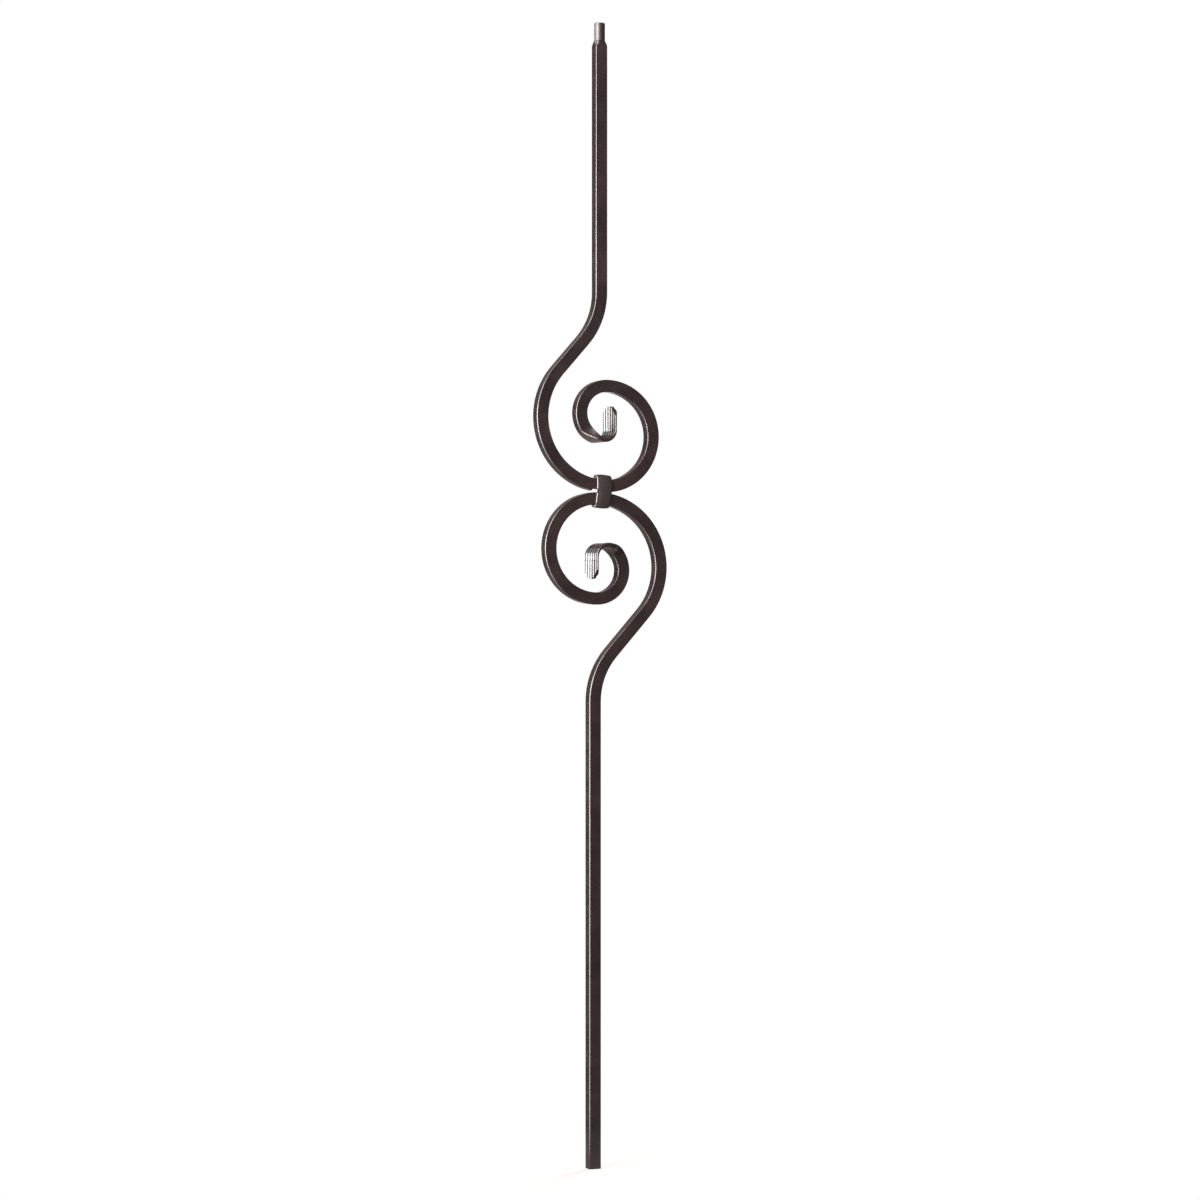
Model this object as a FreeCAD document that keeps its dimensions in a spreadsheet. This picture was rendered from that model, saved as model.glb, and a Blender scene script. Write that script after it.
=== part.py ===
import FreeCAD, Part
import math
import os

import Sketcher
from FreeCAD import Placement, Rotation, Vector

# Iron stair baluster: two square bars, each drawn out into a scroll with a fluted fishtail end,
# set foot to foot so that the scrolls meet, tied by a wrapped collar and tacked with a weld bead.
# Millimetres and degrees. Origin at the centre of the foot, +Z up, scrolls in the XZ plane.
SIZES = {
    # whole baluster
    "overall_height": 1117.6,
    "touch_height": 659.6,  # where the two scrolls meet, above the foot
    "touch_offset": 7.5,  # that point's distance from the lower bar's axis
    "axis_offset": 6.7,  # the upper bar's axis from the lower bar's axis
    "bar_gap": 0.3,  # clearance between the two bars where they meet
    # bar stock
    "bar_width": 12.0,
    "corner_radius": 1.0,
    # scroll, the same on both bars
    "loop_shift": 5.0,  # the loop's nearest point lies this far past the meeting point
    "loop_radius": 67.3,
    "inner_loop_radius": 48.9,
    "neck_angle": 41.8,  # lean of the straight run between loop and shoulder
    "shoulder_radius": 71.2,
    # hand-bent ends, each its own: curl, straightening flare, bend back and straight tongue
    "upper_curl_radius": 26.6,
    "upper_flare_turn": 132.0,  # turned from the curl's crown when the flare begins
    "upper_flare_radius": 35.0,
    "upper_flare_sweep": 21.0,
    "upper_bend_radius": 10.2,
    "upper_blade_length": 23.4,
    "lower_curl_radius": 27.6,
    "lower_flare_turn": 130.0,
    "lower_flare_radius": 20.0,
    "lower_flare_sweep": 38.0,
    "lower_bend_radius": 11.5,
    "lower_blade_length": 21.8,
    # fluted fishtail, the same on both ends
    "taper_lead": 10.0,  # thinning begins this many degrees before the flare
    "flare_thickness": 4.4,
    "blade_width": 33.0,
    "blade_thickness": 1.7,  # between the flutes
    "edge_roundness": 0.85,  # of half the thickness
    "rib_height": 1.0,
    "rib_count": 5,
    "tip_radius": 18.7,
    # round tenon on the upper bar
    "dowel_diameter": 10.6,
    "dowel_length": 17.0,
    "dowel_chamfer": 0.5,
    "taper_length": 7.0,
    # wrapped collar, bowed all round
    "collar_width": 15.6,
    "collar_face": 3.25,  # thickness over the middle of the bars' front and back
    "collar_cap": 3.7,  # thickness over the middle of the top and bottom
    "collar_face_bow": 35.0,  # radius of the bowed front and back
    "collar_cap_bow": 18.0,  # radius of the bowed top and bottom
    "collar_turn_radius": 5.0,  # between them
    "collar_crown": 0.7,  # rise of the band's middle above its edges
    "collar_edge_radius": 1.2,
    "collar_shift": 1.2,  # along the bars from the point where they meet
    "collar_rise": 0.8,  # its outside stands this far above the bars' middle
    "collar_clearance": 0.15,
    "seam_gap": 0.5,
    # weld bead over the groove beside the collar
    "bead_length": 7.4,
    "bead_height": 5.2,
    "bead_depth": 3.6,
    "bead_round": 1.2,
    "bead_slope": 33.0,  # its face runs back from the collar at this angle
    "bead_offset": 1.2,  # its middle from the collar's side
    "bead_sink": 0.2,  # its middle behind the bars' front faces
    "bead_rise": 0.7,  # its middle above the groove
}

doc = FreeCAD.newDocument("baluster")
sheet = doc.addObject("Spreadsheet::Sheet", "Sizes")
for row, (alias, value) in enumerate(SIZES.items(), start=1):
    sheet.set(f"A{row}", alias)
    sheet.set(f"B{row}", str(value))
    sheet.setAlias(f"B{row}", alias)
doc.recompute()


def size(alias):
    return float(sheet.get(alias))


# Places that several pieces share, worked out from the sizes
REACH = size("loop_radius") + (size("bar_width") + size("bar_gap")) / 2
LOOP_RISE = math.sqrt(REACH**2 - size("loop_shift") ** 2) - size("loop_radius")
TILT = math.degrees(math.asin(size("loop_shift") / REACH))
TOUCH = Vector(size("touch_offset"), 0, size("touch_height"))
CROWN = LOOP_RISE + 2 * size("inner_loop_radius")
ACROSS = Vector(0, 1, 0)
COLLAR_TURN = Rotation(ACROSS, TILT)
COLLAR_CENTRE = TOUCH + COLLAR_TURN.multVec(Vector(size("collar_shift"), 0, 0))
PLACES = {
    "upper": Placement(TOUCH, Rotation()),
    "lower": Placement(TOUCH, Rotation(ACROSS, 180)),
    "collar": Placement(COLLAR_CENTRE, COLLAR_TURN),
}
STATIONS = 14  # sections along each end's neck
STRAIGHT = 270  # degrees turned from the curl's crown when the tongue stands straight
LEAD = 1 / 3  # of the bend's radius, carried on straight past the bend

RISE_FORMULA = (
    "sqrt((Sizes.loop_radius + (Sizes.bar_width + Sizes.bar_gap) / 2)^2 - Sizes.loop_shift^2)"
    " - Sizes.loop_radius"
)
AXIS_FORMULAS = {
    "upper": "Sizes.axis_offset - Sizes.touch_offset",
    "lower": "Sizes.touch_offset",
}
LEG_FORMULAS = {
    "upper": "Sizes.overall_height - Sizes.touch_height",
    "lower": "Sizes.touch_height",
}
SAG_FORMULA = (
    "(Sizes.collar_width / 2 + Sizes.collar_shift)^2"
    " / (2 * (Sizes.loop_radius - Sizes.bar_width / 2))"
)
HOLE_DEEP = "(Sizes.bar_width + 2 * Sizes.collar_clearance)"
HOLE_HIGH = f"(2 * (Sizes.bar_width + Sizes.bar_gap / 2 + {SAG_FORMULA} + Sizes.collar_clearance))"


def origin_plane(body, role):
    return next(f for f in body.Origin.OriginFeatures if f.Role == role)


def new_sketch(body, name, role):
    sketch = body.newObject("Sketcher::SketchObject", name)
    sketch.AttachmentSupport = [(origin_plane(body, role), "")]
    sketch.MapMode = "FlatFace"
    return sketch


def line(start, end):
    return Part.LineSegment(Vector(*start, 0), Vector(*end, 0))


def arc(centre, radius, start, end):
    circle = Part.Circle(Vector(*centre, 0), Vector(0, 0, 1), radius)
    return Part.ArcOfCircle(circle, math.radians(start), math.radians(end))


def drive(sketch, name, formula, *constraint):
    """Adds a named dimension and binds it to a formula over the sheet."""
    index = sketch.addConstraint(Sketcher.Constraint(*constraint))
    sketch.renameConstraint(index, name)
    sketch.setExpression(f"Constraints.{name}", formula)


def join(sketch, kind, *ends):
    sketch.addConstraint(Sketcher.Constraint(kind, *ends))


def rounded_rectangle(sketch, half_x, half_y, radius, x_formula, y_formula, radius_formula):
    """A rounded rectangle about the sketch's origin, its width, height and radius bound to formulas."""
    x, y = half_x - radius, half_y - radius
    corners = ((x, y, 0), (-x, y, 90), (-x, -y, 180), (x, -y, 270))
    sketch.addGeometry(line((half_x, -y), (half_x, y)))
    for number, (cx, cy, start) in enumerate(corners):
        sketch.addGeometry(arc((cx, cy), radius, start, start + 90))
        ahead = ((-x, half_y), (-half_x, -y), (x, -half_y))
        begin = ((x, half_y), (-half_x, y), (-x, -half_y))
        if number < 3:
            sketch.addGeometry(line(begin[number], ahead[number]))
    for edge in range(8):
        join(sketch, "Tangent", edge, 2, (edge + 1) % 8, 1)
    join(sketch, "Vertical", 0)
    join(sketch, "Horizontal", 2)
    for other in (3, 5, 7):
        join(sketch, "Equal", 1, other)
    join(sketch, "Symmetric", 1, 3, 5, 3, -1, 1)
    drive(sketch, "corner", radius_formula, "Radius", 1, radius)
    drive(sketch, "across", x_formula, "DistanceX", 4, 1, 0, 1, 2 * half_x)
    drive(sketch, "along", y_formula, "DistanceY", 6, 1, 2, 1, 2 * half_y)


def scroll_path(body, side, axis, leg_end):
    """A bar's centreline from the end of its leg to where its end thins, as tangent runs and arcs."""
    lean = math.radians(size("neck_angle"))
    shift, loop, inner = size("loop_shift"), size("loop_radius"), size("inner_loop_radius")
    shoulder, curl = size("shoulder_radius"), size(f"{side}_curl_radius")
    turn = size(f"{side}_flare_turn") - size("taper_lead")
    run_foot = (shift - loop * math.cos(lean), LOOP_RISE + loop * (1 + math.sin(lean)))
    run_rise = axis - run_foot[0] - shoulder * (1 - math.cos(lean))
    run_head = (run_foot[0] + run_rise, run_foot[1] + run_rise / math.tan(lean))
    bend_end = run_head[1] + shoulder * math.sin(lean)
    sketch = new_sketch(body, f"{side}_path", "XZ_Plane")
    sketch.addGeometry(line((axis, leg_end), (axis, bend_end)))
    sketch.addGeometry(arc((axis - shoulder, bend_end), shoulder, -size("neck_angle"), 0))
    sketch.addGeometry(line(run_foot, run_head))
    sketch.addGeometry(arc((shift, LOOP_RISE + loop), loop, 180 - size("neck_angle"), 270))
    sketch.addGeometry(arc((shift, LOOP_RISE + inner), inner, -90, 90))
    sketch.addGeometry(arc((shift, CROWN - curl), curl, 90, 90 + turn))
    join(sketch, "Vertical", 0)
    join(sketch, "Tangent", 0, 2, 1, 2)
    join(sketch, "Tangent", 1, 1, 2, 2)
    join(sketch, "Tangent", 2, 1, 3, 1)
    join(sketch, "Tangent", 3, 2, 4, 1)
    join(sketch, "Tangent", 4, 2, 5, 1)
    join(sketch, "Vertical", 3, 3, 3, 2)
    join(sketch, "Vertical", 4, 3, 4, 2)
    turn_formula = f"(Sizes.{side}_flare_turn - Sizes.taper_lead) * 1 deg"
    drive(sketch, "shoulder", "Sizes.shoulder_radius", "Radius", 1, shoulder)
    drive(sketch, "loop", "Sizes.loop_radius", "Radius", 3, loop)
    drive(sketch, "inner_loop", "Sizes.inner_loop_radius", "Radius", 4, inner)
    drive(sketch, "curl", f"Sizes.{side}_curl_radius", "Radius", 5, curl)
    drive(sketch, "lean", "(90 - Sizes.neck_angle) * 1 deg", "Angle", 2, math.pi / 2 - lean)
    drive(sketch, "turn", turn_formula, "Angle", 5, math.radians(turn))
    drive(sketch, "shift", "Sizes.loop_shift", "DistanceX", -1, 1, 3, 2, shift)
    drive(sketch, "rise", RISE_FORMULA, "DistanceY", -1, 1, 3, 2, LOOP_RISE)
    drive(sketch, "axis", AXIS_FORMULAS[side], "DistanceX", -1, 1, 0, 2, axis)
    drive(sketch, "leg", LEG_FORMULAS[side], "DistanceY", -1, 1, 0, 1, leg_end)
    return sketch


def scroll_bar(side, axis, leg_end):
    """Square bar with rounded corners, carried along the scroll's centreline to where its end thins."""
    body = doc.addObject("PartDesign::Body", f"{side}_scroll")
    path = scroll_path(body, side, axis, leg_end)
    section = new_sketch(body, f"{side}_section", "XY_Plane")
    section.setExpression("AttachmentOffset.Base.x", AXIS_FORMULAS[side])
    section.setExpression("AttachmentOffset.Base.z", LEG_FORMULAS[side])
    half = size("bar_width") / 2
    width = "Sizes.bar_width"
    rounded_rectangle(section, half, half, size("corner_radius"), width, width, "Sizes.corner_radius")
    doc.recompute()
    pipe = body.newObject("PartDesign::AdditivePipe", f"{side}_run")
    pipe.Profile = section
    pipe.Spine = (path, [f"Edge{edge}" for edge in range(1, 7)])
    pipe.Mode = "Binormal"
    pipe.Binormal = ACROSS
    doc.recompute()
    return body


def tenon(body, leg_end):
    """Turns the upper bar's end to a round dowel with a tapered shoulder."""
    radius, chamfer = size("dowel_diameter") / 2, size("dowel_chamfer")
    outside = size("bar_width") / math.sqrt(2)
    shoulder = leg_end - size("dowel_length")
    corners = [
        (radius - chamfer, leg_end),
        (outside, leg_end),
        (outside, shoulder - size("taper_length")),
        (radius, shoulder),
        (radius, leg_end - chamfer),
    ]
    sketch = new_sketch(body, "tenon_profile", "XZ_Plane")
    sketch.setExpression("AttachmentOffset.Base.x", AXIS_FORMULAS["upper"])
    for start, end in zip(corners, corners[1:] + corners[:1]):
        sketch.addGeometry(line(start, end))
    for edge in range(5):
        join(sketch, "Coincident", edge, 2, (edge + 1) % 5, 1)
    join(sketch, "Horizontal", 0)
    join(sketch, "Vertical", 1)
    join(sketch, "Vertical", 3)
    drive(sketch, "dowel", "Sizes.dowel_diameter / 2", "DistanceX", -1, 1, 3, 1, radius)
    drive(sketch, "outside", "Sizes.bar_width / sqrt(2)", "DistanceX", -1, 1, 1, 1, outside)
    drive(sketch, "length", "Sizes.dowel_length", "DistanceY", 3, 1, 0, 1, size("dowel_length"))
    drive(sketch, "taper", "Sizes.taper_length", "DistanceY", 1, 2, 3, 1, size("taper_length"))
    drive(sketch, "chamfer_x", "Sizes.dowel_chamfer", "DistanceX", 0, 1, 3, 1, chamfer)
    drive(sketch, "chamfer_z", "Sizes.dowel_chamfer", "DistanceY", 3, 2, 0, 1, chamfer)
    drive(sketch, "top", LEG_FORMULAS["upper"], "DistanceY", -1, 1, 0, 1, leg_end)
    doc.recompute()
    before = body.Shape.Volume
    groove = body.newObject("PartDesign::Groove", "tenon")
    groove.Profile = sketch
    groove.ReferenceAxis = (sketch, ["V_Axis"])
    groove.Angle = 360
    doc.recompute()
    if body.Shape.Volume >= before:
        raise RuntimeError("the tenon cut nothing")


def ease(share):
    return share * share * (3 - 2 * share)


def blend(start, end, share):
    return start + (end - start) * share


def rib_row(level, height, start, end):
    """One face of the blade's section: a row of convex ribs between two depths."""
    count = round(size("rib_count"))
    stops = [blend(start, end, number / count) for number in range(count + 1)]
    edges = []
    for near, far in zip(stops, stops[1:]):
        first, last = Vector(level, near, 0), Vector(level, far, 0)
        crest = Vector(level + height, (near + far) / 2, 0)
        edges.append(Part.Arc(first, crest, last) if height else Part.LineSegment(first, last))
    return edges


def corner(x, y, radius, start):
    """Quarter round of a section about a centre, anticlockwise from a starting angle."""
    angles = [math.radians(start + step) for step in (0, 45, 90)]
    return Part.Arc(*[Vector(x + radius * math.cos(a), y + radius * math.sin(a), 0) for a in angles])


def blade_section(flare, turn):
    """Section of a bar's end: the square bar at flare 0, beaten flat at flare 1, fluted at turn 1."""
    thickness = blend(size("bar_width"), size("flare_thickness"), flare)
    thickness = blend(thickness, size("blade_thickness"), turn)
    edge_radius = size("edge_roundness") * size("blade_thickness") / 2
    radius = blend(size("corner_radius"), edge_radius, turn)
    height = size("rib_height") * ease(turn)
    face, side = thickness / 2, blend(size("bar_width"), size("blade_width"), flare) / 2
    x, y = face - radius, side - radius
    edges = rib_row(face, height, -y, y)
    edges.append(corner(x, y, radius, 0))
    edges.append(Part.LineSegment(Vector(x, side, 0), Vector(-x, side, 0)))
    edges.append(corner(-x, y, radius, 90))
    edges += rib_row(-face, -height, y, -y)
    edges.append(corner(-x, -y, radius, 180))
    edges.append(Part.LineSegment(Vector(-x, -side, 0), Vector(x, -side, 0)))
    edges.append(corner(x, -y, radius, 270))
    return Part.Wire([edge.toShape() for edge in edges])


def outward(angle):
    """Turn that points a section's first axis away from a curl, an angle on from its crown."""
    return Rotation(ACROSS, -90 - angle)


def end_arcs(side):
    """The end's centreline as arcs: centre, radius, and the angles from the curl's crown it runs between."""
    curl, flare = size(f"{side}_curl_radius"), size(f"{side}_flare_radius")
    bend, turn = size(f"{side}_bend_radius"), size(f"{side}_flare_turn")
    flat = turn + size(f"{side}_flare_sweep")
    out = Vector(1, 0, 0)
    curl_centre = Vector(size("loop_shift"), 0, CROWN - curl)
    flare_centre = curl_centre + outward(turn).multVec(out) * (curl - flare)
    bend_centre = flare_centre + outward(flat).multVec(out) * (flare - bend)
    return [
        (curl_centre, curl, turn - size("taper_lead"), turn),
        (flare_centre, flare, turn, flat),
        (bend_centre, bend, flat, STRAIGHT),
    ]


def end_stations(side):
    """Evenly spaced places down the end's centreline, each with its angle from the curl's crown."""
    arcs = end_arcs(side)
    runs = [radius * math.radians(last - first) for _, radius, first, last in arcs]
    stations = []
    for number in range(STATIONS + 1):
        travel = sum(runs) * number / STATIONS
        for (centre, radius, first, last), run in zip(arcs, runs):
            if travel <= run or last == STRAIGHT:
                break
            travel -= run
        angle = min(first + math.degrees(travel / radius), last)
        turned = outward(angle)
        stations.append((Placement(centre + turned.multVec(Vector(radius, 0, 0)), turned), angle))
    return stations


def fishtail(side):
    """Thinned, widened and bent end of a bar: a neck through the stations, then a straight fluted tongue."""
    (_, _, thin, _), (_, _, _, flat), _ = end_arcs(side)
    stations = end_stations(side)
    wires = []
    for place, angle in stations:
        flare = ease(min((angle - thin) / (flat - thin), 1))
        wire = blade_section(flare, max((angle - flat) / (STRAIGHT - flat), 0))
        wire.Placement = place
        wires.append(wire)
    lead = Vector(0, 0, size(f"{side}_bend_radius") * LEAD)
    profile = doc.addObject("Part::Feature", f"{side}_fluting")
    profile.Shape = blade_section(1, 1)
    profile.Placement = Placement(stations[-1][0].Base + lead, stations[-1][0].Rotation)
    wires.append(profile.Shape)
    neck = doc.addObject("Part::Feature", f"{side}_neck")
    neck.Shape = Part.makeLoft(wires, True, False)
    tongue = doc.addObject("Part::Extrusion", f"{side}_tongue")
    tongue.Base = profile
    tongue.DirMode = "Custom"
    tongue.Dir = Vector(0, 0, 1)
    tongue.Solid = True
    tongue.setExpression("LengthFwd", f"Sizes.{side}_blade_length - Sizes.{side}_bend_radius * {LEAD}")
    return neck, tongue, tongue_trim(side, stations[-1][0].Base)


def tongue_trim(side, foot):
    """What the rounded tip leaves of a block about the tongue's end."""
    radius, tip = size("tip_radius"), foot + Vector(0, 0, size(f"{side}_blade_length"))
    thick, wide = size("blade_thickness") + 4 * size("rib_height"), size("blade_width")
    block = doc.addObject("Part::Box", f"{side}_tip_block")
    block.setExpression("Length", "Sizes.blade_thickness + 4 * Sizes.rib_height")
    block.setExpression("Width", "Sizes.blade_width * 2")
    block.setExpression("Height", "Sizes.tip_radius / 2 + Sizes.rib_height")
    block.Placement.Base = tip - Vector(thick / 2, wide, radius / 2)
    disc = doc.addObject("Part::Cylinder", f"{side}_tip_disc")
    disc.setExpression("Radius", "Sizes.tip_radius")
    disc.setExpression("Height", "(Sizes.blade_thickness + 4 * Sizes.rib_height) * 2")
    disc.Placement = Placement(tip - Vector(thick, 0, radius), Rotation(ACROSS, 90))
    trim = doc.addObject("Part::Cut", f"{side}_tip_trim")
    trim.Base = block
    trim.Tool = disc
    return trim


def bar(side, axis, leg_end):
    """A whole bar: its scroll, with the dowel on the upper one, and its fishtail end."""
    body = scroll_bar(side, axis, leg_end)
    if side == "upper":
        tenon(body, leg_end)
    neck, tongue, trim = fishtail(side)
    forging = doc.addObject("Part::MultiFuse", f"{side}_forging")
    forging.Shapes = [body, neck, tongue]
    whole = doc.addObject("Part::Cut", f"{side}_bar")
    whole.Base = forging
    whole.Tool = trim
    whole.Label = f"{side}_bar"
    whole.Placement = PLACES[side]
    doc.recompute()
    return whole


def collar_inside():
    """Half the depth and half the height of the collar's hole: both bars, their bend and a clearance."""
    reach = size("collar_width") / 2 + size("collar_shift")
    sag = reach**2 / (2 * (size("loop_radius") - size("bar_width") / 2))
    clearance = size("collar_clearance")
    deep = size("bar_width") / 2 + clearance
    return deep, size("bar_width") + size("bar_gap") / 2 + sag + clearance


def collar_path(body, half_deep, half_high):
    """The collar's outside as tangent arcs, from one side of the seam at the back round to the other."""
    face, cap, turn = size("collar_face_bow"), size("collar_cap_bow"), size("collar_turn_radius")
    face_centre, cap_centre = half_deep - face, half_high - cap
    apart = math.hypot(face_centre, cap_centre)
    along = ((face - turn) ** 2 - (cap - turn) ** 2 + apart**2) / (2 * apart)
    aside = math.sqrt((face - turn) ** 2 - along**2)
    step = Vector(-face_centre, cap_centre, 0) / apart
    turn_x = face_centre + step.x * along - step.y * aside
    turn_y = step.y * along + step.x * aside
    low = math.degrees(math.atan2(turn_y, turn_x - face_centre))
    high = math.degrees(math.atan2(turn_y - cap_centre, turn_x))
    seam = math.degrees(math.asin(size("seam_gap") / 2 / face))
    path = new_sketch(body, "collar_path", "YZ_Plane")
    path.addGeometry(arc((face_centre, 0), face, seam, low))
    path.addGeometry(arc((turn_x, turn_y), turn, low, high))
    path.addGeometry(arc((0, cap_centre), cap, high, 180 - high))
    path.addGeometry(arc((-turn_x, turn_y), turn, 180 - high, 180 - low))
    path.addGeometry(arc((-face_centre, 0), face, 180 - low, 180 + low))
    path.addGeometry(arc((-turn_x, -turn_y), turn, 180 + low, 180 + high))
    path.addGeometry(arc((0, -cap_centre), cap, 180 + high, 360 - high))
    path.addGeometry(arc((turn_x, -turn_y), turn, 360 - high, 360 - low))
    path.addGeometry(arc((face_centre, 0), face, 360 - low, 360 - seam))
    for number in range(8):
        join(path, "Tangent", number, 2, number + 1, 1)
    for first, other in ((1, 3), (1, 5), (1, 7), (0, 4), (0, 8), (2, 6)):
        join(path, "Equal", first, other)
    join(path, "PointOnObject", 0, 3, -1)
    join(path, "Coincident", 0, 3, 8, 3)
    join(path, "Symmetric", 0, 3, 4, 3, -1, 1)
    join(path, "PointOnObject", 2, 3, -2)
    join(path, "Symmetric", 2, 3, 6, 3, -1, 1)
    deep = f"({HOLE_DEEP} / 2 + Sizes.collar_face)"
    high_formula = f"({HOLE_HIGH} / 2 + Sizes.collar_cap)"
    drive(path, "face", "Sizes.collar_face_bow", "Radius", 0, face)
    drive(path, "cap", "Sizes.collar_cap_bow", "Radius", 2, cap)
    drive(path, "turn", "Sizes.collar_turn_radius", "Radius", 1, turn)
    drive(path, "face_set", f"Sizes.collar_face_bow - {deep}", "DistanceX", 0, 3, -1, 1, -face_centre)
    drive(path, "cap_set", f"Sizes.collar_cap_bow - {high_formula}", "DistanceY", 2, 3, -1, 1, -cap_centre)
    drive(path, "seam_above", "Sizes.seam_gap / 2", "DistanceY", -1, 1, 0, 1, size("seam_gap") / 2)
    drive(path, "seam_below", "Sizes.seam_gap / 2", "DistanceY", 8, 2, -1, 1, size("seam_gap") / 2)
    return path


def collar_section(body):
    """Section of the band: a flat inside, straight sides, rounded edges and a low crown."""
    half, rise, edge = size("collar_width") / 2, size("collar_crown"), size("collar_edge_radius")
    bow = (half**2 + rise**2) / (2 * rise)
    level = math.sqrt((bow - edge) ** 2 - (half - edge) ** 2) - bow
    lean = math.degrees(math.atan2(level + bow, half - edge))
    thick = size("collar_cap") + size("collar_rise") + 2 * size("collar_clearance")
    section = new_sketch(body, "collar_section", "XY_Plane")
    section.setExpression("AttachmentOffset.Base.y", f"{HOLE_DEEP} / 2 + Sizes.collar_face")
    section.setExpression("AttachmentOffset.Base.z", "Sizes.seam_gap / 2")
    section.addGeometry(line((-half, -thick), (half, -thick)))
    section.addGeometry(line((half, -thick), (half, level)))
    section.addGeometry(arc((half - edge, level), edge, 0, lean))
    section.addGeometry(arc((0, -bow), bow, lean, 180 - lean))
    section.addGeometry(arc((edge - half, level), edge, 180 - lean, 180))
    section.addGeometry(line((-half, level), (-half, -thick)))
    for number in (1, 2, 3, 4):
        join(section, "Tangent", number, 2, number + 1, 1)
    join(section, "Coincident", 5, 2, 0, 1)
    join(section, "Coincident", 0, 2, 1, 1)
    join(section, "Symmetric", 0, 1, 0, 2, -2)
    join(section, "Vertical", 1)
    join(section, "Vertical", 5)
    join(section, "Equal", 2, 4)
    join(section, "PointOnObject", 3, 3, -2)
    bow_formula = "((Sizes.collar_width / 2)^2 + Sizes.collar_crown^2) / (2 * Sizes.collar_crown)"
    thick_formula = "Sizes.collar_cap + Sizes.collar_rise + 2 * Sizes.collar_clearance"
    drive(section, "bow", bow_formula, "Radius", 3, bow)
    drive(section, "edge", "Sizes.collar_edge_radius", "Radius", 2, edge)
    drive(section, "crown", bow_formula, "DistanceY", 3, 3, -1, 1, bow)
    drive(section, "width", "Sizes.collar_width", "DistanceX", 0, 1, 0, 2, 2 * half)
    drive(section, "thick", thick_formula, "DistanceY", 0, 1, -1, 1, thick)
    return section


def collar():
    """Bowed band wrapped about both bars, its ends meeting in a seam at the back."""
    body = doc.addObject("PartDesign::Body", "collar_band")
    body.Label = "collar"
    body.Placement = PLACES["collar"].multiply(Placement(Vector(0, 0, size("collar_rise")), Rotation()))
    inside_deep, inside_high = collar_inside()
    path = collar_path(body, inside_deep + size("collar_face"), inside_high + size("collar_cap"))
    section = collar_section(body)
    doc.recompute()
    band = body.newObject("PartDesign::AdditivePipe", "collar_wrap")
    band.Profile = section
    band.Spine = (path, [f"Edge{number}" for number in range(1, 10)])
    band.Mode = "Binormal"
    band.Binormal = Vector(1, 0, 0)
    doc.recompute()
    hole = new_sketch(body, "collar_hole", "YZ_Plane")
    hole.setExpression("AttachmentOffset.Base.y", "-Sizes.collar_rise")
    radius = size("corner_radius") + size("collar_clearance")
    radius_formula = "Sizes.corner_radius + Sizes.collar_clearance"
    rounded_rectangle(hole, inside_deep, inside_high, radius, HOLE_DEEP, HOLE_HIGH, radius_formula)
    doc.recompute()
    before = body.Shape.Volume
    pocket = body.newObject("PartDesign::Pocket", "collar_passage")
    pocket.Profile = hole
    pocket.Type = "ThroughAll"
    pocket.SideType = "Symmetric"
    doc.recompute()
    if body.Shape.Volume >= before:
        raise RuntimeError("the bars' passage cut nothing")
    return body


def weld_bead(neighbours):
    """Weld metal run over the groove between the bars, its face sloping back from the collar's side."""
    block = doc.addObject("Part::Box", "bead_block")
    block.setExpression("Length", "Sizes.bead_length")
    block.setExpression("Width", "Sizes.bead_depth")
    block.setExpression("Height", "Sizes.bead_height")
    out = size("collar_width") / 2 + size("bead_offset")
    middle = Vector(-out, size("bead_sink") - size("bar_width") / 2, size("bead_rise"))
    slope = Rotation(Vector(0, 0, 1), -size("bead_slope"))
    turn = COLLAR_TURN.multiply(slope)
    corner = Vector(size("bead_length"), size("bead_depth"), size("bead_height")) / -2
    block.Placement = Placement(PLACES["collar"].multVec(middle) + turn.multVec(corner), turn)
    lump = doc.addObject("Part::Fillet", "bead_lump")
    lump.Base = block
    doc.recompute()
    rounding = size("bead_round")
    lump.Edges = [(number, rounding, rounding) for number in range(1, len(block.Shape.Edges) + 1)]
    around = doc.addObject("Part::MultiFuse", "bead_surround")
    around.Shapes = neighbours
    bead = doc.addObject("Part::Cut", "weld_bead")
    bead.Base = lump
    bead.Tool = around
    bead.Label = "weld_bead"
    doc.recompute()
    return bead


def write(pieces):
    for item in doc.Objects:
        if "Invalid" in item.State or "Error" in item.State:
            raise RuntimeError(f"{item.Label} did not build: {item.State}")
    for piece in pieces:
        shape = piece.Shape
        if shape.isNull() or not shape.isValid() or len(shape.Solids) != 1:
            raise RuntimeError(f"{piece.Label} is not one valid solid")
    os.makedirs("parts", exist_ok=True)
    for piece in pieces:
        piece.Shape.exportStep(os.path.join("parts", f"{piece.Label}.step"))
        print(piece.Label, round(piece.Shape.Volume, 1), piece.Shape.BoundBox)


upper_leg = size("overall_height") - size("touch_height")
upper = bar("upper", size("axis_offset") - size("touch_offset"), upper_leg)
lower = bar("lower", size("touch_offset"), size("touch_height"))
band = collar()
write([upper, lower, band, weld_bead([upper, lower, band])])
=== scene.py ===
import math

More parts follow.
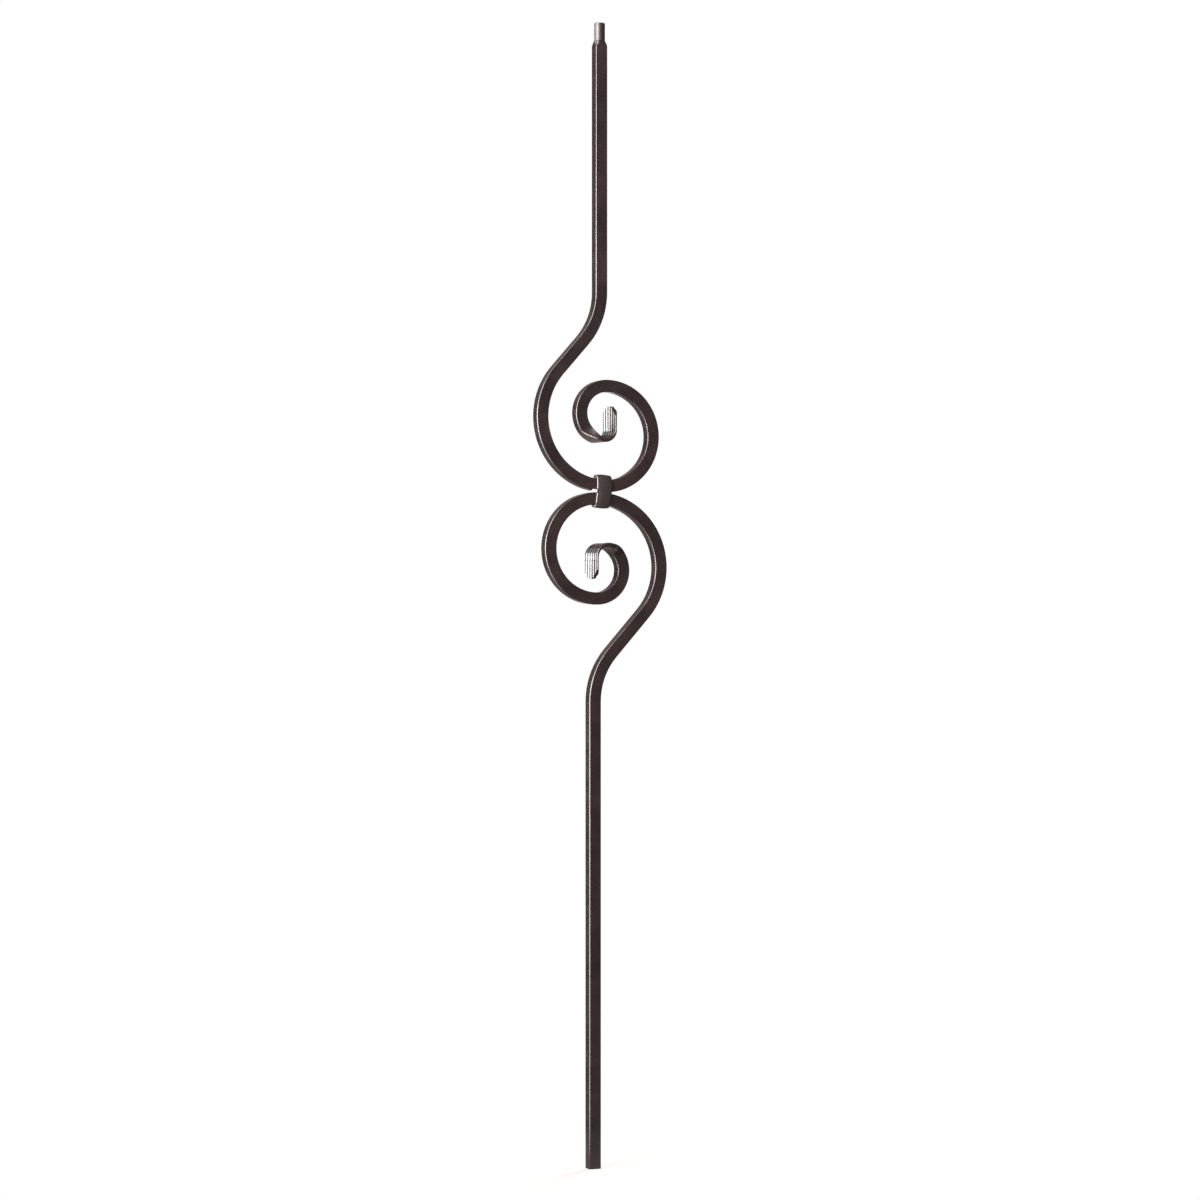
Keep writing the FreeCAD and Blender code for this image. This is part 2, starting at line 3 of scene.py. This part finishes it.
import bpy
from bpy.props import FloatProperty, FloatVectorProperty, PointerProperty
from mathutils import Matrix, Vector


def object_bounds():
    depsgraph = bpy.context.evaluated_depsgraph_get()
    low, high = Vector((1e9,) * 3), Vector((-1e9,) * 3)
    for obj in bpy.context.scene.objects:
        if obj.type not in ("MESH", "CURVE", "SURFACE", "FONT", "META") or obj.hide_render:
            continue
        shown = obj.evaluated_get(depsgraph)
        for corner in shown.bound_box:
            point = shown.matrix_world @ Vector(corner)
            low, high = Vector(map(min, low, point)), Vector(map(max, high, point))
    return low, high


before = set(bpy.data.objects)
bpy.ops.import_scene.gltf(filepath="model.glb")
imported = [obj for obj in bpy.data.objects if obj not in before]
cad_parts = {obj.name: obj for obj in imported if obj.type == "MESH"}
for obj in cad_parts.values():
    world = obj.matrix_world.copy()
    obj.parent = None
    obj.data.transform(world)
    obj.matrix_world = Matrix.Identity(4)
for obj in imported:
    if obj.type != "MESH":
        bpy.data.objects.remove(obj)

bl_info = {
    "name": "Scrolled Iron Baluster",
    "version": (1, 0, 0),
    "blender": (4, 5, 0),
    "location": "View3D > Sidebar > Baluster",
    "description": "Powder-coats a forged stair baluster and sets the studio round it",
    "category": "Object",
}

CAD_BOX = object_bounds()
TOP = CAD_BOX[1][2]
WHITE = (1.0, 1.0, 1.0)

# The coat
NOISE_LOW, NOISE_HIGH = 0.3, 0.7  # most of a noise lies between these
DEEP_AT, SHADE_AT, WARM_AT = 0.32, 0.5, 0.7  # noise at which each colour of the patches is pure
PATCH_DETAIL, PATCH_ROUGHNESS = 4.0, 0.6
SMEAR_SHARE, SMEAR_DETAIL = 1 / 3, 3.0  # breadth of the smears of gloss, as a share of a patch
SPECKLE_DARK, SPECKLE_PALE = 0.94, 1.06  # how far the grain changes the colour
GLOSSIER, DULLER = -0.03, 0.04  # how far the smears change the roughness
GRAIN_DETAIL, GRAIN_STRENGTH = 2.0, 0.6
HAMMER_DETAIL, HAMMER_STRENGTH = 1.0, 1.0
LACQUER_ROUGHNESS, LACQUER_IOR = 0.1, 1.6
DOWEL_BLEND = 0.0005  # half the height over which the coat turns dull

# The floor
FLOOR_SIDES = 96
FLOOR_LIFT = (0.75, 0.75, 0.75, 1)  # what the camera sees on top of the floor's own light
FADE_FROM = 0.15  # share of the floor's radius at which it starts to fade
PAPER_SIZE, PAPER_DETAIL = 0.004, 3.0
PAPER_DARK, PAPER_PALE = 0.985, 1.0

# The room: cosines from the camera's direction, and slopes, over which a shade sets in
BACKDROP_EDGE = (0.96, 0.99)
WALL_EDGE = (0.7, 0.8)
WALL_SLOPES = (0.14, 0.3)

# The lamps: those for gloss stand in one plane on the left, those for matt light aim at a point
GLOSS_PLANE = -1.3
TALL_HEIGHTS = (-2.0, -0.7, -0.05, 0.2, 1.1, 2.0, 3.6)  # edges of a tall box's parts, upwards
CORNER_STRIP = (-1.02, -0.14)  # front and back edges
FLUTE_BOX = (0.2, 1.6)
WELD_CARD_DEPTH, WELD_CARD_HEIGHT, WELD_CARD_SIZE = -1.4, 0.88, (0.6, 0.36)
SOFT_AIM, SOFT_SIZE = (0, 0, 0.6), (1.6, 1.6)
SOFT_LEFT, SOFT_FRONT, SOFT_BACK = (-2.2, -1.2, 1.6), (0.6, -2.6, 1.9), (2.2, 1.8, 1.8)

# A Mix node's two inputs and its output, for numbers and for colours
MIX_SOCKETS = {"FLOAT": (2, 3, 0), "RGBA": (6, 7, 2)}


class BALUSTER_PG_coat(bpy.types.PropertyGroup):
    """Dark bronze powder coat over forged iron."""

    shade: FloatVectorProperty(
        name="Shade", description="Main colour of the coat", subtype="COLOR",
        default=(0.0305, 0.0197, 0.0203), min=0.0, max=1.0,
    )
    deep: FloatVectorProperty(
        name="Deep", description="Colour of the darker patches", subtype="COLOR",
        default=(0.0214, 0.0139, 0.0146), min=0.0, max=1.0,
    )
    warm: FloatVectorProperty(
        name="Warm", description="Colour of the paler, redder patches", subtype="COLOR",
        default=(0.0433, 0.0282, 0.0277), min=0.0, max=1.0,
    )
    patch_size: FloatProperty(
        name="Patch Size", description="Breadth of the patches of colour", subtype="DISTANCE",
        unit="LENGTH", default=0.03, min=0.002,
    )
    grain_size: FloatProperty(
        name="Grain Size", description="Breadth of the powder's grain", subtype="DISTANCE",
        unit="LENGTH", default=0.0011, min=0.0001, precision=4,
    )
    grain_depth: FloatProperty(
        name="Grain Depth", description="Height of the powder's grain", subtype="DISTANCE",
        unit="LENGTH", default=0.000001, min=0.0, precision=6,
    )
    hammer_size: FloatProperty(
        name="Hammer Size", description="Breadth of the forge's hammer marks", subtype="DISTANCE",
        unit="LENGTH", default=0.018, min=0.001,
    )
    hammer_depth: FloatProperty(
        name="Hammer Depth", description="Depth of the forge's hammer marks", subtype="DISTANCE",
        unit="LENGTH", default=0.000008, min=0.0, precision=6,
    )
    dowel_length: FloatProperty(
        name="Dowel Length", description="Length of the dull dowel at the top", subtype="DISTANCE",
        unit="LENGTH", default=0.017, min=0.0,
    )
    dowel_roughness: FloatProperty(
        name="Dowel Roughness", description="Roughness of the dull dowel", subtype="FACTOR",
        default=0.47, min=0.0, max=1.0,
    )


class BALUSTER_PG_stage(bpy.types.PropertyGroup):
    """Floor, lamps and camera."""

    view_turn: FloatProperty(
        name="View Turn", description="How far the camera stands to the left of the front",
        subtype="ANGLE", unit="ROTATION", default=math.radians(22.0),
    )
    view_distance: FloatProperty(
        name="View Distance", description="Camera to the baluster's middle", subtype="DISTANCE",
        unit="LENGTH", default=3.5, min=0.5,
    )
    view_height: FloatProperty(
        name="View Height", description="Camera above the floor", subtype="DISTANCE",
        unit="LENGTH", default=0.55442,
    )
    view_offset: FloatProperty(
        name="View Offset", description="Sideways place that the camera looks at",
        subtype="DISTANCE", unit="LENGTH", default=0.0072,
    )
    view_width: FloatProperty(
        name="View Width", description="Width that the picture takes in at the baluster",
        subtype="DISTANCE", unit="LENGTH", default=1.1718, min=0.1,
    )
    floor_shade: FloatVectorProperty(
        name="Floor Shade", description="Colour of the floor", subtype="COLOR",
        default=(0.2, 0.182, 0.172), min=0.0, max=1.0,
    )
    floor_reach: FloatProperty(
        name="Floor Reach", description="Radius of the floor", subtype="DISTANCE", unit="LENGTH",
        default=0.36, min=0.1,
    )
    gleam: FloatProperty(
        name="Gleam", description="Brightness of the tall strip that the bars' corners mirror",
        default=21.0, min=0.0,
    )
    side_gleam: FloatProperty(
        name="Side Gleam", description="Brightness of the tall box that the fluted ends mirror",
        default=11.5, min=0.0,
    )
    low_share: FloatProperty(
        name="Low Share", description="Brightness at the feet of the tall boxes", subtype="FACTOR",
        default=0.45, min=0.0, max=1.0,
    )
    high_share: FloatProperty(
        name="High Share", description="Brightness at the heads of the tall boxes",
        subtype="FACTOR", default=0.32, min=0.0, max=1.0,
    )
    card_power: FloatProperty(
        name="Card Power", description="Power of the small box that the weld bead mirrors",
        subtype="POWER", unit="POWER", default=8.0, min=0.0,
    )
    left_power: FloatProperty(
        name="Left Power", description="Power of the matt light on the left", subtype="POWER",
        unit="POWER", default=105.0, min=0.0,
    )
    front_power: FloatProperty(
        name="Front Power", description="Power of the matt light in front", subtype="POWER",
        unit="POWER", default=50.0, min=0.0,
    )
    back_power: FloatProperty(
        name="Back Power", description="Power of the matt light behind, on the right",
        subtype="POWER", unit="POWER", default=160.0, min=0.0,
    )
    warm_tint: FloatVectorProperty(
        name="Warm Tint", description="Colour of the light on the bars' corners", subtype="COLOR",
        default=(1.0, 0.92, 0.88), min=0.0, max=1.0,
    )
    room_shade: FloatVectorProperty(
        name="Room Shade", description="Dim warm light of the room round the lamps",
        subtype="COLOR", default=(0.1, 0.074, 0.07), min=0.0, max=1.0,
    )
    wall_shade: FloatVectorProperty(
        name="Wall Shade", description="Light of the wall round the white backdrop",
        subtype="COLOR", default=(0.32, 0.255, 0.245), min=0.0, max=1.0,
    )


def add(tree, kind, label, *values, **sockets):
    """A labelled node, its sockets set or linked in their order or by name."""
    node = tree.nodes.new(kind)
    node.label = node.name = label
    named = [(node.inputs[name.replace("_", " ")], value) for name, value in sockets.items()]
    for socket, value in [*zip(node.inputs, values), *named]:
        feed(tree, socket, value)
    return node


def feed(tree, socket, value):
    """Sets a socket, or links it from another node's output."""
    if isinstance(value, bpy.types.NodeSocket):
        tree.links.new(value, socket)
    else:
        socket.default_value = value


def worked(tree, kind, label, operation, *values):
    """A node of arithmetic on numbers or vectors."""
    node = add(tree, kind, label, *values)
    node.operation = operation
    return node


def mixed(tree, label, kind, share, first, second):
    """Mixes two numbers or two colours, each set or linked."""
    node = add(tree, "ShaderNodeMix", label, Factor=share)
    node.data_type = kind
    from_first, from_second, result = MIX_SOCKETS[kind]
    feed(tree, node.inputs[from_first], first)
    feed(tree, node.inputs[from_second], second)
    return node.outputs[result]


def noise(tree, label, place, breadth, detail, roughness=0.5):
    """Noise whose lumps have a breadth in metres, read at a place in the object's coordinates."""
    return add(tree, "ShaderNodeTexNoise", label, Vector=place, Scale=1.0 / breadth,
               Detail=detail, Roughness=roughness).outputs["Fac"]


def spread(tree, label, value, low, high):
    """Maps the middle of a noise's range to a low and a high value."""
    return add(tree, "ShaderNodeMapRange", label, Value=value, From_Min=NOISE_LOW,
               From_Max=NOISE_HIGH, To_Min=low, To_Max=high).outputs["Result"]


def eased(tree, label, value, low, high):
    """Rises smoothly from none to full between two values."""
    node = add(tree, "ShaderNodeMapRange", label, Value=value, From_Min=low, From_Max=high)
    node.interpolation_type = "SMOOTHSTEP"
    return node.outputs["Result"]


def empty_tree(owner):
    """The cleared node tree of a material or a world."""
    owner.use_nodes = True
    owner.node_tree.nodes.clear()
    return owner.node_tree


def dulled_dowel(tree, place, gloss, coat):
    """Roughness that rises to the dowel's own above its shoulder."""
    height = add(tree, "ShaderNodeSeparateXYZ", "Height", Vector=place).outputs["Z"]
    shoulder = TOP - coat.dowel_length
    dull = add(tree, "ShaderNodeMapRange", "Dowel", Value=height,
               From_Min=shoulder - DOWEL_BLEND, From_Max=shoulder + DOWEL_BLEND)
    return mixed(tree, "Dull Dowel", "FLOAT", dull.outputs["Result"], gloss, coat.dowel_roughness)


def powder_coat(name, coat, roughness, shine, lacquer, tone=1.0):
    """Powder coat: patchy dark bronze, fine grain and the forge's shallow hammer marks."""
    material = bpy.data.materials.new(name)
    tree = empty_tree(material)
    place = add(tree, "ShaderNodeTexCoord", "Place").outputs["Object"]

    patches = noise(tree, "Patches", place, coat.patch_size, PATCH_DETAIL, PATCH_ROUGHNESS)
    colour = add(tree, "ShaderNodeValToRGB", "Patch Colour", Fac=patches)
    stops = colour.color_ramp.elements
    stops[0].position, stops[0].color = DEEP_AT, (*coat.deep, 1)
    stops[1].position, stops[1].color = WARM_AT, (*coat.warm, 1)
    stops.new(SHADE_AT).color = (*coat.shade, 1)
    grain = noise(tree, "Powder Grain", place, coat.grain_size, GRAIN_DETAIL)
    level = spread(tree, "Speckle Level", grain, SPECKLE_DARK * tone, SPECKLE_PALE * tone)
    speckle = add(tree, "ShaderNodeHueSaturation", "Speckle", Color=colour.outputs["Color"],
                  Value=level)

    smears = noise(tree, "Smears", place, coat.patch_size * SMEAR_SHARE, SMEAR_DETAIL)
    gloss = spread(tree, "Gloss", smears, roughness + GLOSSIER, roughness + DULLER)
    gloss = dulled_dowel(tree, place, gloss, coat)

    hammer = noise(tree, "Hammer Marks", place, coat.hammer_size, HAMMER_DETAIL)
    dents = add(tree, "ShaderNodeBump", "Dents", Height=hammer, Distance=coat.hammer_depth,
                Strength=HAMMER_STRENGTH)
    peel = add(tree, "ShaderNodeBump", "Orange Peel", Height=grain, Distance=coat.grain_depth,
               Strength=GRAIN_STRENGTH, Normal=dents.outputs["Normal"])

    shader = add(tree, "ShaderNodeBsdfPrincipled", "Coated Iron", Roughness=gloss,
                 Base_Color=speckle.outputs["Color"], Normal=peel.outputs["Normal"],
                 Specular_IOR_Level=shine, Coat_Weight=lacquer,
                 Coat_Roughness=LACQUER_ROUGHNESS, Coat_IOR=LACQUER_IOR)
    add(tree, "ShaderNodeOutputMaterial", "Surface", Surface=shader.outputs["BSDF"])
    return material


def coat_nodes(material, *names):
    """Gives CAD nodes a material in their own slots."""
    for name in names:
        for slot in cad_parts[name].material_slots:
            slot.material = material


class BALUSTER_OT_bars(bpy.types.Operator):
    """Coats both scrolled bars and their fluted ends"""

    bl_idname = "baluster.bars"
    bl_label = "Coat Bars"

    def execute(self, context):
        coat = context.scene.baluster_coat
        material = powder_coat("coated_iron", coat, roughness=0.19, shine=1.0, lacquer=0.0)
        coat_nodes(material, "upper_bar", "lower_bar")
        return {"FINISHED"}


class BALUSTER_OT_collar(bpy.types.Operator):
    """Coats the wrapped collar, darker and duller than the bars under a clear lacquer"""

    bl_idname = "baluster.collar"
    bl_label = "Coat Collar"

    def execute(self, context):
        coat = context.scene.baluster_coat
        material = powder_coat("coated_collar", coat, roughness=0.55, shine=1.0, lacquer=1.0,
                               tone=0.6)
        coat_nodes(material, "collar")
        return {"FINISHED"}


class BALUSTER_OT_weld(bpy.types.Operator):
    """Coats the weld bead beside the collar, glossy over its smooth metal"""

    bl_idname = "baluster.weld"
    bl_label = "Coat Weld Bead"

    def execute(self, context):
        coat = context.scene.baluster_coat
        material = powder_coat("coated_weld", coat, roughness=0.18, shine=0.5, lacquer=1.0)
        coat_nodes(material, "weld_bead")
        return {"FINISHED"}


def pale_paper(stage):
    """Matt paper, lifted towards white for the camera, which fades out at the floor's rim."""
    material = bpy.data.materials.new("pale_floor")
    tree = empty_tree(material)
    place = add(tree, "ShaderNodeTexCoord", "Place").outputs["Object"]
    paper = noise(tree, "Paper", place, PAPER_SIZE, PAPER_DETAIL)
    level = spread(tree, "Paper Level", paper, PAPER_DARK, PAPER_PALE)
    shade = add(tree, "ShaderNodeHueSaturation", "Shade", Color=(*stage.floor_shade, 1),
                Value=level)
    matt = add(tree, "ShaderNodeBsdfDiffuse", "Matt", Color=shade.outputs["Color"])
    rays = add(tree, "ShaderNodeLightPath", "Rays")
    lift = add(tree, "ShaderNodeEmission", "Lift", Color=FLOOR_LIFT,
               Strength=rays.outputs["Is Camera Ray"])
    both = add(tree, "ShaderNodeAddShader", "Lifted", matt.outputs[0], lift.outputs[0])
    away = worked(tree, "ShaderNodeVectorMath", "Away", "LENGTH", place).outputs["Value"]
    rim = eased(tree, "Rim", away, stage.floor_reach * FADE_FROM, stage.floor_reach)
    clear = add(tree, "ShaderNodeBsdfTransparent", "Clear")
    edge = add(tree, "ShaderNodeMixShader", "Edge", rim, both.outputs[0], clear.outputs[0])
    add(tree, "ShaderNodeOutputMaterial", "Surface", Surface=edge.outputs[0])
    return material


def pale_floor(stage):
    """A round floor under the baluster, which takes its shadow."""
    mesh = bpy.data.meshes.new("floor")
    turns = [math.tau * step / FLOOR_SIDES for step in range(FLOOR_SIDES)]
    reach = stage.floor_reach
    corners = [(reach * math.cos(turn), reach * math.sin(turn), 0) for turn in turns]
    mesh.from_pydata(corners, [], [tuple(range(FLOOR_SIDES))])
    mesh.materials.append(pale_paper(stage))
    floor = bpy.data.objects.new("floor", mesh)
    bpy.context.scene.collection.objects.link(floor)
    return floor


def pale_room(stage):
    """White all round for the camera, and for gloss a white backdrop behind in a dim studio."""
    world = bpy.data.worlds.new("pale_room")
    bpy.context.scene.world = world
    tree = empty_tree(world)
    rays = add(tree, "ShaderNodeLightPath", "Rays").outputs
    way = add(tree, "ShaderNodeTexCoord", "Way").outputs["Generated"]
    looking = (math.sin(stage.view_turn), math.cos(stage.view_turn), 0)
    facing = worked(tree, "ShaderNodeVectorMath", "Facing", "DOT_PRODUCT", way, looking)
    facing = facing.outputs["Value"]
    level = add(tree, "ShaderNodeSeparateXYZ", "Level", Vector=way)
    slope = worked(tree, "ShaderNodeMath", "Slope", "ABSOLUTE", level.outputs["Z"]).outputs[0]
    above_and_below = worked(tree, "ShaderNodeMath", "Above And Below", "MULTIPLY",
                             eased(tree, "Behind", facing, *WALL_EDGE),
                             eased(tree, "Off The Level", slope, *WALL_SLOPES))
    gloss_and_glass = worked(tree, "ShaderNodeMath", "Gloss And Glass", "MAXIMUM",
                             rays["Is Glossy Ray"], rays["Is Transmission Ray"])
    white, dim, lit = (*WHITE, 1), (*stage.room_shade, 1), (*stage.wall_shade, 1)
    wall = mixed(tree, "Wall", "RGBA", above_and_below.outputs[0], dim, lit)
    middle = eased(tree, "Backdrop", facing, *BACKDROP_EDGE)
    behind = mixed(tree, "White Backdrop", "RGBA", middle, wall, white)
    mirrored = mixed(tree, "Mirrored", "RGBA", gloss_and_glass.outputs[0], dim, behind)
    shade = mixed(tree, "Shade", "RGBA", rays["Is Camera Ray"], mirrored, white)
    light = add(tree, "ShaderNodeBackground", "Light", Color=shade, Strength=1.0)
    add(tree, "ShaderNodeOutputWorld", "World", Surface=light.outputs[0])


def lamp(name, place, aim, size, power, tint, glossy):
    """A soft box facing a point, unseen by the camera, for gloss alone or for matt light alone."""
    data = bpy.data.lights.new(name, "AREA")
    data.shape = "RECTANGLE"
    data.size, data.size_y = size
    data.energy, data.color = power, tint
    box = bpy.data.objects.new(name, data)
    box.location = place
    box.rotation_mode = "QUATERNION"
    box.rotation_quaternion = (Vector(aim) - Vector(place)).to_track_quat("-Z", "Y")
    box.visible_camera = False
    box.visible_glossy = glossy
    box.visible_diffuse = not glossy
    bpy.context.scene.collection.objects.link(box)


def gloss_lamp(name, depth, height, size, power, tint):
    """A lamp for gloss alone, in the plane on the left and square to it."""
    lamp(name, (GLOSS_PLANE, depth, height), (0, depth, height), size, power, tint, glossy=True)


def tall_box(name, edges, gleam, shares, tint):
    """A tall gloss lamp between two depths, in parts that each have a share of its brightness."""
    front, back = edges
    width, depth = back - front, (front + back) / 2
    for part, (low, high, share) in enumerate(zip(TALL_HEIGHTS, TALL_HEIGHTS[1:], shares), 1):
        power = gleam * share * math.pi * width * (high - low)
        gloss_lamp(f"{name}_{part}", depth, (low + high) / 2, (width, high - low), power, tint)


def studio_lamps(stage):
    """Two tall boxes and a card for the gloss, and three soft boxes for the matt light."""
    low, high = stage.low_share, stage.high_share
    lower_parts = (low / 2, low, (1 + low) / 2, 1.0)
    tall_box("corner_strip", CORNER_STRIP, stage.gleam, (*lower_parts, 1.0, high), stage.warm_tint)
    tall_box("flute_box", FLUTE_BOX, stage.side_gleam, (*lower_parts, high / 2, high), WHITE)
    gloss_lamp("weld_card", WELD_CARD_DEPTH, WELD_CARD_HEIGHT, WELD_CARD_SIZE, stage.card_power,
               WHITE)
    for name, place, power in (
        ("soft_box_left", SOFT_LEFT, stage.left_power),
        ("soft_box_front", SOFT_FRONT, stage.front_power),
        ("soft_box_back", SOFT_BACK, stage.back_power),
    ):
        lamp(name, place, SOFT_AIM, SOFT_SIZE, power, WHITE, glossy=False)


def level_camera(stage):
    """A camera that looks level at the baluster from the left of its front."""
    data = bpy.data.cameras.new("camera")
    data.sensor_fit = "HORIZONTAL"
    data.angle = 2 * math.atan(stage.view_width / 2 / stage.view_distance)
    camera = bpy.data.objects.new("camera", data)
    camera.location = (
        stage.view_offset - stage.view_distance * math.sin(stage.view_turn),
        -stage.view_distance * math.cos(stage.view_turn),
        stage.view_height,
    )
    camera.rotation_euler = (math.pi / 2, 0, -stage.view_turn)
    bpy.context.scene.collection.objects.link(camera)
    return camera


class BALUSTER_OT_stage(bpy.types.Operator):
    """Sets the pale floor, the room, the soft lamps and the camera"""

    bl_idname = "baluster.stage"
    bl_label = "Set Stage"

    def execute(self, context):
        scene, stage = context.scene, context.scene.baluster_stage
        pale_floor(stage)
        pale_room(stage)
        studio_lamps(stage)
        scene.camera = level_camera(stage)
        scene.view_settings.view_transform = "Standard"
        return {"FINISHED"}


class BALUSTER_PT_panel(bpy.types.Panel):
    """Lists the steps that dress the baluster"""

    bl_idname = "BALUSTER_PT_panel"
    bl_label = "Baluster"
    bl_space_type = "VIEW_3D"
    bl_region_type = "UI"
    bl_category = "Baluster"

    def draw(self, context):
        for step in STEPS:
            self.layout.operator(step.bl_idname)


SETTINGS = {
    "baluster_coat": BALUSTER_PG_coat,
    "baluster_stage": BALUSTER_PG_stage,
}
STEPS = (BALUSTER_OT_bars, BALUSTER_OT_collar, BALUSTER_OT_weld, BALUSTER_OT_stage)


def register():
    for kind in (*SETTINGS.values(), *STEPS, BALUSTER_PT_panel):
        bpy.utils.register_class(kind)
    for name, kind in SETTINGS.items():
        setattr(bpy.types.Scene, name, PointerProperty(type=kind))


def unregister():
    for name in SETTINGS:
        delattr(bpy.types.Scene, name)
    for kind in reversed((*SETTINGS.values(), *STEPS, BALUSTER_PT_panel)):
        bpy.utils.unregister_class(kind)


def main():
    register()
    bpy.ops.baluster.bars()
    bpy.ops.baluster.collar()
    bpy.ops.baluster.weld()
    bpy.ops.baluster.stage()


if __name__ == "__main__":
    main()
